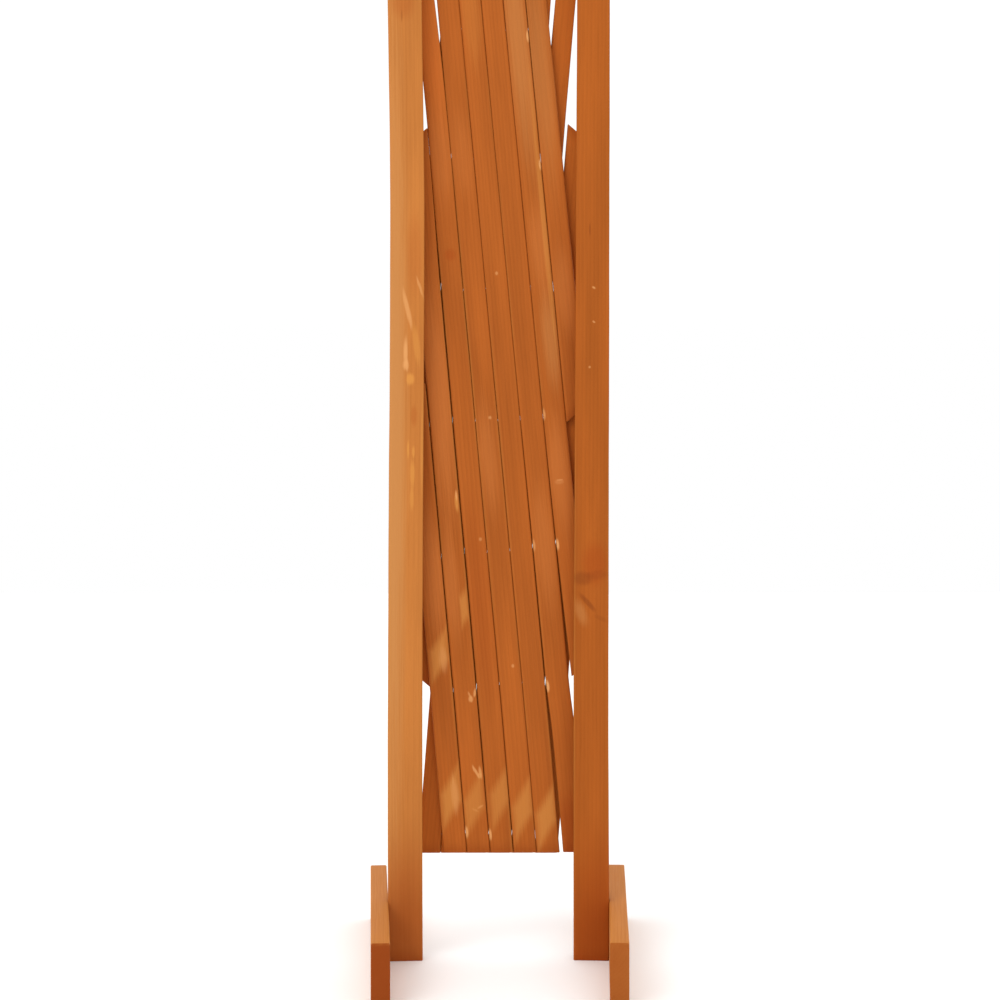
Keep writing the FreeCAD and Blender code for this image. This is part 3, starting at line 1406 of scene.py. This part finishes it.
def build_nails(lattice: Lattice, steel: bpy.types.Material) -> None:
    """Make the nails of the crossings and the guide pins.

    Args:
        lattice: Grid of the pivots.
        steel: Finish.
    """
    nail = Nail()
    crossings = lattice.crossings()
    lower_row, upper_row = lattice.guide_rows
    for index in range(lattice.slats):
        body = f"back_slat_{index + 1}"
        pivots = [pivot for pivot in lattice.pivots(Layer.BACK, index) if pivot in crossings]
        nail.drive(f"{body}_nails_steel", lattice, pivots, body, f"{body}_pins", steel)
    guides = {
        "left_upper": ("front_slat_2", (0, upper_row)),
        "left_lower": ("back_slat_2", (0, lower_row)),
        "right_upper": ("back_slat_7", (lattice.last_column, upper_row)),
        "right_lower": ("front_slat_7", (lattice.last_column, lower_row)),
    }
    for place, (body, pivot) in guides.items():
        node = f"{place}_guide_pin"
        nail.drive(f"{node}_steel", lattice, [pivot], body, node, steel)


@dataclass(frozen=True)
class Studio:
    """Pale floor, soft light and the camera.

    Attributes:
        eye: Place of the camera.
        yaw: Turn of the camera to the right, in degrees.
        lens: Focal length, in millimetres.
        sensor: Width of the sensor, in millimetres.
        floor_size: Size of the floor, in metres.
        horizon: Brightness of the surroundings at eye level.
        zenith: Brightness of the surroundings overhead.
        lamp: Place of the soft light.
        aim: Point that the soft light faces.
        lamp_size: Length of the soft light's sides, in metres.
        lamp_power: Power of the soft light, in watts.
    """

    eye: Triple = (-0.0143, -1.795, 0.499)
    yaw: float = 0.5
    lens: float = 59.45
    sensor: float = 36.0
    floor_size: float = 14.0
    horizon: float = 1.0
    zenith: float = 1.3
    lamp: Triple = (-1.6, -2.2, 2.3)
    aim: Triple = (0.0, 0.0, 0.6)
    lamp_size: float = 1.6
    lamp_power: float = 26.0

    def build(self) -> None:
        """Set up the floor, the lights and the camera."""
        self.floor()
        self.surroundings()
        self.softbox()
        self.camera()
        settings = bpy.context.scene.view_settings
        settings.view_transform = "Standard"
        settings.look = "None"

    def floor(self) -> None:
        """Lay the pale floor."""
        graph = Graph("pale_floor")
        place = graph.node("ShaderNodeTexCoord").outputs["Object"]
        grit = graph.noise(place, (3, 3, 3), 3).outputs["Fac"]
        tint = graph.blend(grit, screen(249, 249, 248), screen(253, 253, 252))
        material = graph.shade(Base_Color=tint, Roughness=0.8, Specular_IOR_Level=0.2)
        bm = bmesh.new()
        bmesh.ops.create_grid(bm, x_segments=1, y_segments=1, size=self.floor_size / 2)
        mesh = finished_mesh(bm, "floor")
        mesh.materials.append(material)
        made = bpy.data.objects.new("floor", mesh)
        bpy.context.scene.collection.objects.link(made)

    def surroundings(self) -> None:
        """Light the scene with a plain white surround, a little brighter overhead."""
        world = bpy.data.worlds.new("white_surround")
        bpy.context.scene.world = world
        world.use_nodes = True
        tree = world.node_tree
        place = tree.nodes.new("ShaderNodeTexCoord")
        split = tree.nodes.new("ShaderNodeSeparateXYZ")
        ramp = tree.nodes.new("ShaderNodeMapRange")
        reach = {"From Min": 0.1, "From Max": 0.9, "To Min": self.horizon, "To Max": self.zenith}
        for name, value in reach.items():
            ramp.inputs[name].default_value = value
        tree.links.new(place.outputs["Generated"], split.inputs["Vector"])
        tree.links.new(split.outputs["Z"], ramp.inputs["Value"])
        backdrop = tree.nodes["Background"]
        backdrop.inputs["Color"].default_value = (1, 1, 1, 1)
        tree.links.new(ramp.outputs["Result"], backdrop.inputs["Strength"])

    def softbox(self) -> None:
        """Hang the square soft light."""
        light = bpy.data.lights.new("key_light", "AREA")
        light.size = self.lamp_size
        light.energy = self.lamp_power
        made = bpy.data.objects.new("key_light", light)
        made.location = self.lamp
        made.rotation_euler = (Vector(self.aim) - Vector(self.lamp)).to_track_quat("-Z", "Y").to_euler()
        bpy.context.scene.collection.objects.link(made)

    def camera(self) -> None:
        """Set the camera level, in front of the fence."""
        data = bpy.data.cameras.new("camera")
        data.lens = self.lens
        data.sensor_width = self.sensor
        made = bpy.data.objects.new("camera", data)
        made.location = self.eye
        made.rotation_euler = (math.pi / 2, 0, -math.radians(self.yaw))
        bpy.context.scene.collection.objects.link(made)
        bpy.context.scene.camera = made


def brushed_end(across: float, along: float, strength: float) -> Mark:
    """Give the slanting pale lap that the stainer's brush left near a slat's lower end."""
    return lap(across, along, half_across=16, half_along=28, strength=strength, slant=1.4)


def speck(across: float, along: float) -> Mark:
    """Give a small rubbed spot."""
    return scuff(across, along, half_across=2.4, half_along=2.8, strength=0.45)


def rubbed_edge(across: float, along: float, strength: float = 0.9) -> Mark:
    """Give a pale rubbed spot at the edge of a slat."""
    return scuff(across, along, half_across=2.6, half_along=8.5, strength=strength)


FRONT_HABITS = (
    SlatHabit(
        gap_share=0.1,
        sway=((-0.5, -3.0), (0.5, -2.4), (3.0, -1.6)),
        marks=(
            # Painted light: lightens slat 1 near the left post, where the post shades it.
            pale(2, 235, 16, 100, 0.45),
            lap(1, 148, 15, 25, 0.75, slant=1.2),
            scuff(5, 143, 7, 19, 0.28),
            brushed_end(0, -8, 0.8),
            scuff(5, -6, 6, 26, 0.3),
        ),
        low_trim=-1.0,
    ),
    SlatHabit(
        gap_share=0.3,
        sway=((-0.5, -2.9), (0.5, -1.9), (3.0, -1.2), (4.0, -0.9), (4.6, 0.3), (4.9, 0.7), (5.15, 0.84)),
        marks=(
            resin(9, 316, 2.6, 15, 0.75),
            scuff(9.5, 323, 1.6, 8, 0.7),
            pale(0, 430, 20, 190, 0.46),
            pale(-4, 225, 12, 90, 0.35),
            lap(7, 200, 6, 23, 0.65, slant=1.2),
            scuff(5.6, 99.5, 3.4, 4.5, 0.6),
            scuff(10.6, 106, 2.0, 6, 0.7, lean=0.2),
            scuff(4.6, 104, 1.6, 5, 0.45, lean=-0.3),
            scuff(4.2, 20, 2.4, 9, 0.65, lean=-0.44),
            scuff(9.2, 18.5, 2.2, 9, 0.6, lean=-0.1),
            scuff(8, 15, 3.4, 4, 0.6),
            scuff(6, -19, 4.5, 1.8, 0.5, slant=0.4),
            scuff(0, -22, 4.5, 1.8, 0.35, slant=-0.5),
            brushed_end(-1, -16, 0.6),
            rubbed_edge(-11.3, -45),
        ),
        low_trim=-1.0,
    ),
    SlatHabit(
        gap_share=0.5,
        sway=((-0.5, -2.9), (0.5, -1.4), (3.0, -1.1), (4.5, -0.9), (5.2, -0.7), (5.8, -1.6), (6.5, -4.4)),
        marks=(
            speck(6, 275),
            shade(0, 210, 18, 150, 0.2),
            pale(0, 700, 17, 80, 0.28),
            shade(1, 588, 9, 9, 0.35),
            # Painted light: lightens the top of the slat next to the left post, where the post shades it.
            painted_light(2, 820, 22, 130, 0.4),
            brushed_end(3, -8, 0.6),
            rubbed_edge(-11.2, -48),
        ),
        low_trim=-1.0,
        upper_loss=1.1,
    ),
    SlatHabit(
        gap_share=0.3,
        sway=((-0.5, -2.4), (0.5, -1.5), (3.0, -1.9), (4.5, -2.0), (6.5, -2.6)),
        marks=(
            pale(-2, 365, 15, 90, 0.36),
            pale(0, 700, 17, 70, 0.2),
            speck(4, 409),
            speck(4, 136),
            brushed_end(1, -22, 0.7),
        ),
        low_trim=-1.0,
    ),
    SlatHabit(
        gap_share=0.3,
        sway=((-0.5, -2.45), (0.5, -1.7), (3.0, -2.4), (4.5, -2.85), (6.5, -3.8)),
        marks=(speck(1, 568), resin(0, 850, 13, 70, 0.16), brushed_end(1, -30, 0.8)),
        low_trim=-1.0,
    ),
    SlatHabit(
        gap_share=-0.3,
        sway=(
            (-0.5, 1.5),
            (0.0, 1.6),
            (0.5, 1.0),
            (0.8, -0.5),
            (1.2, -1.0),
            (1.6, -1.3),
            (3.0, -2.8),
            (4.5, -3.7),
            (6.5, -4.9),
        ),
        marks=(
            # Painted shade: darkens the lower end next to the right post, where the post shades it.
            shade(-2, -50, 24, 60, 0.4),
            pale(0, 270, 17, 100, 0.34),
            rubbed_edge(-11.4, 115),
            rubbed_edge(-11.4, 270, 0.5),
        ),
        low_trim=-1.0,
        upper_loss=0.6,
    ),
    SlatHabit(
        gap_share=0.1,
        sway=((1.0, 2.2), (2.0, -1.3), (3.0, -3.0), (4.5, -4.38), (6.5, -5.85)),
        marks=(
            scuff(-2, 199, 7, 3.6, 0.3),
            scuff(-1, 201, 4.5, 1.2, 0.6),
            sap(0, 680, 18, 190, 0.4),
            pale(0, 205, 17, 100, 0.42),
            sap(4, 355, 14, 75, 0.36),
            pale(2, 455, 15, 75, 0.36),
            resin(9, 490, 4, 190, 0.4),
            rubbed_edge(11.2, 688),
            rubbed_edge(11.2, 547),
            rubbed_edge(-11.4, 274, 0.6),
            rubbed_edge(-11.2, 131),
        ),
        low_trim=12.0,
    ),
    SlatHabit(
        gap_share=0.3,
        sway=((3.0, -3.5), (4.5, -5.1), (6.0, -6.7), (6.5, -7.2)),
        marks=(sap(-2, 370, 18, 170, 0.3), pale(0, 130, 16, 70, 0.36)),
        low_trim=12.0,
        upper_loss=1.2,
    ),
)
BACK_HABITS = (
    SlatHabit(
        gap_share=0.1,
        sway=((3.0, 1.5), (4.0, 0.7), (5.0, -0.95), (6.5, -2.0)),
        upper_loss=2.2,
    ),
    SlatHabit(
        gap_share=0.1,
        sway=((1.0, 3.2), (3.0, 1.2), (5.0, -1.5), (6.5, -4.0)),
    ),
    SlatHabit(
        gap_share=0.2,
        sway=((-0.5, 5.9), (1.0, 3.2), (3.0, 0.8), (5.0, -2.2), (6.5, -5.0)),
        low_trim=-2.6,
    ),
    SlatHabit(
        gap_share=0.1,
        sway=((-0.5, 5.85), (1.0, 3.05), (3.0, 0.35), (5.0, -2.9), (6.5, -6.1)),
        low_trim=-2.6,
    ),
    SlatHabit(
        gap_share=0.2,
        sway=((-0.5, 6.3), (1.0, 2.85), (3.0, -0.4), (5.0, -3.8), (6.5, -7.9)),
        low_trim=-2.6,
        upper_loss=1.6,
    ),
    SlatHabit(
        gap_share=0.2,
        sway=((-0.5, 6.7), (1.0, 2.5), (3.0, -0.9), (5.0, -4.4), (6.5, -5.0)),
        low_trim=-2.6,
        upper_loss=1.5,
    ),
    SlatHabit(
        gap_share=0.4,
        sway=((-0.5, 6.9), (1.0, 2.15), (3.0, -1.0), (5.0, -3.2)),
        low_trim=-2.6,
        high_trim=-6.3,
    ),
    SlatHabit(
        gap_share=0.2,
        sway=((-0.5, 8.0), (0.0, 6.9), (1.0, 2.4), (3.0, -1.2)),
        low_trim=-2.6,
    ),
)
LEFT_POST_MARKS = (
    sap(-13, 560, 18, 640, 0.85),
    shade(8, 765, 12, 60, 0.2),
    shade(8, 590, 5, 16, 0.25),
    shade(-2, 1040, 18, 28, 0.28),
    knot(-3.5, 1023, 1.4, 9, 0.25),
    scuff(0.2, 706, 3.4, 27, 0.6, lean=-0.22),
    scuff(-1.8, 659, 2.9, 23, 0.75),
    scuff(-1.2, 645, 4.2, 8.5, 0.7),
    resin(10, 667, 5, 29, 0.55, lean=-0.12),
    resin(3.8, 630, 5.8, 8.5, 0.95),
    scuff(13.5, 730, 2.0, 15, 0.45, lean=-0.33),
    resin(1.8, 554, 1.7, 13, 0.75),
    resin(7.6, 551, 2.4, 9, 0.75),
    resin(6.8, 528, 3.6, 20, 0.7),
    resin(6.2, 501, 2.8, 18, 0.6),
    resin(17, 560, 2.4, 60, 0.45),
    # Darker towards the bottom: partly painted shade near the floor and the foot, partly a darker stain.
    shade(2, 0, 60, 175, 0.45),
)
RIGHT_POST_MARKS = (
    scuff(1.6, 729, 2.4, 1.9, 0.6, slant=-0.4),
    scuff(1.6, 692, 2.4, 1.6, 0.5, slant=-0.4),
    scuff(-2.7, 643, 1.8, 2.0, 0.45),
    shade(4, 430, 19, 32, 0.4),
    knot(-9, 414, 16, 10, 0.32),
    knot(8, 418, 16, 7, 0.16),
    knot(-4, 388, 4.8, 13, 0.38, lean=-0.82),
    sap(-11, 377, 9, 20, 0.35, lean=-0.3),
    knot(10, 371, 9, 3.5, 0.15, slant=-0.4),
    knot(-3, 792, 1.2, 9, 0.35),
    # Darker towards the bottom: partly painted shade near the floor and the foot, partly a darker stain.
    shade(10, 0, 60, 175, 0.45),
)
LEFT_POST_BOW = Bow(
    (
        (0.0, -0.1),
        (255.0, -0.3),
        (515.0, 0.7),
        (645.0, 1.6),
        (810.0, 2.1),
        (906.0, 1.3),
        (1036.0, -0.7),
        (1100.0, -1.9),
    )
)
RIGHT_POST_BOW = Bow(((0.0, -0.7), (290.0, -1.1), (500.0, -0.4), (1100.0, 1.8)))

FRONT_STAIN = StainedWood(screen(175, 92, 31), screen(143, 72, 20))
# The back layer's stain is lighter than the front's: painted light against the shade that the front layer
# casts on it.
BACK_STAIN_WITH_PAINTED_LIGHT = StainedWood(screen(186, 98, 32), screen(154, 77, 20))
LEFT_POST_STAIN = StainedWood(screen(190, 117, 53), screen(164, 98, 42), heart=(-34.0, 30.0), seed=41)
RIGHT_POST_STAIN = StainedWood(screen(170, 88, 26), screen(142, 72, 18), heart=(36.0, 26.0), seed=42)
FOOT_STAIN = StainedWood(screen(194, 124, 56), screen(168, 98, 38), heart=(-46.0, 30.0), end_reach=3.0)


def build_slats(lattice: Lattice) -> None:
    """Make the slats of both layers.

    Args:
        lattice: Grid of the pivots.
    """
    layers = (
        (Layer.FRONT, FRONT_STAIN, FRONT_HABITS, 1),
        (Layer.BACK, BACK_STAIN_WITH_PAINTED_LIGHT, BACK_HABITS, 21),
    )
    for layer, stain, habits, first_seed in layers:
        for index, habit in enumerate(habits):
            Slat(lattice, layer, index, habit, stain.from_log(first_seed + index)).build()


def main() -> None:
    """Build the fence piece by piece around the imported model."""
    logging.basicConfig(level=logging.INFO, format="%(name)s: %(message)s")
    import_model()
    lattice = Lattice()
    steel = ZincSteel().material("zinc_steel")
    build_slats(lattice)
    build_nails(lattice, steel)
    stands = (
        EndStand(
            Side.LEFT,
            lattice,
            LEFT_POST_STAIN,
            replace(FOOT_STAIN, seed=51, end_shade=0.95),
            LEFT_POST_MARKS,
            post_bow=LEFT_POST_BOW,
        ),
        EndStand(
            Side.RIGHT,
            lattice,
            RIGHT_POST_STAIN,
            replace(FOOT_STAIN, seed=52, end_shade=0.65),
            RIGHT_POST_MARKS,
            post_bow=RIGHT_POST_BOW,
            post_flare=3.4,
        ),
    )
    for stand in stands:
        stand.build_post()
        stand.build_foot(steel)
        stand.build_pivot(steel)
    Studio().build()


if __name__ == "__main__":
    main()
